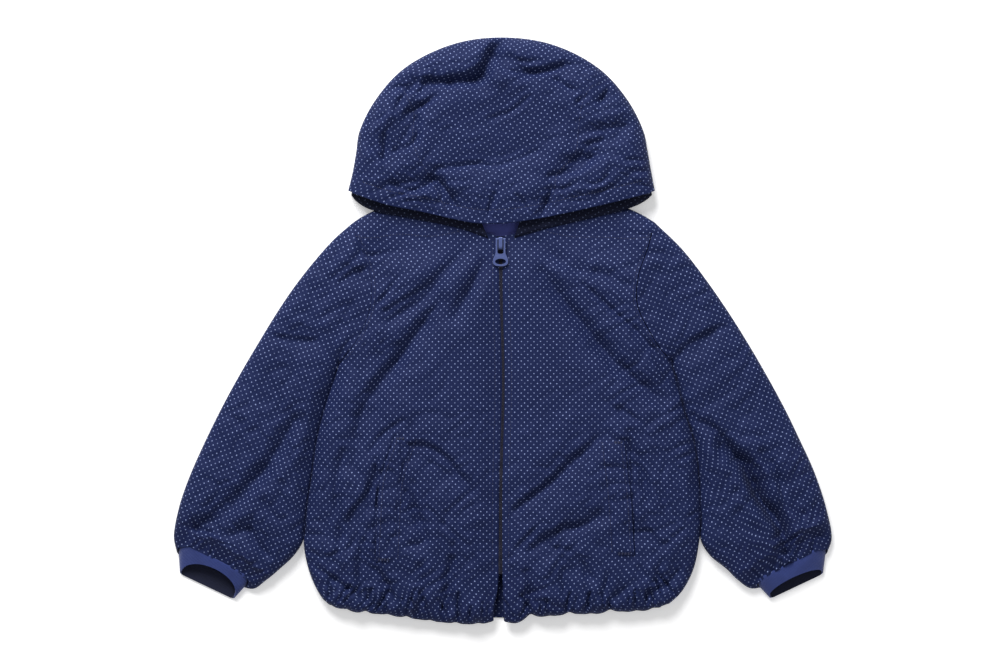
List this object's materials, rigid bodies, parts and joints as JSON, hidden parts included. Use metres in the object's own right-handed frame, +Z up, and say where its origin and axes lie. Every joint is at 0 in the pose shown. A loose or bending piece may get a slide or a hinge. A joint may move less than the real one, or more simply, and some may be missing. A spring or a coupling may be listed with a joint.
{
  "type": "kids raincoat",
  "caption": "Child's hooded zip rain jacket in dotted shell cloth, laid flat front up, with the hood brim folded down over the neck and open hem, cuffs and neck.",
  "frame": {"origin": "middle of the overall box, on the surface that the jacket lies on", "axes": "+Z up out of the front, +Y from hem to hood, +X to the wearer's left sleeve"},
  "size_m": [0.6598, 0.587, 0.0291],
  "materials": {
    "shell": "light woven shell cloth, navy with small pale dots",
    "trim": "plain blue knit elastic",
    "zip": "woven zip tape, dark navy",
    "hardware": "satin blue enamel"
  },
  "bodies": {
    "jacket": {"back": "shell", "hem_casing_back": "shell", "front_left": "shell", "yoke_left": "shell", "sleeve_left": "shell", "hem_casing_left": "shell", "hood_lip_left": "shell", "pocket_welt_left": "shell", "front_right": "shell", "yoke_right": "shell", "sleeve_right": "shell", "hem_casing_right": "shell", "hood_lip_right": "shell", "pocket_welt_right": "shell", "hood_left": "shell", "hood_centre": "shell", "hood_right": "shell", "neck_tape": "trim", "cuff_left": "trim", "cuff_right": "trim", "zip_tape_left": "zip", "zip_tape_right": "zip", "zip_slider": "hardware"},
    "pull_tab": {"zip_pull_tab": "hardware"}
  },
  "joints": [
    {"name": "pull_tab_swing", "type": "hinge", "parent": "jacket", "child": "pull_tab", "pos_m": [-0.002, 0.0929, 0.01665], "axis": [-1, 0, 0], "range_deg": [0, 140]}
  ]
}
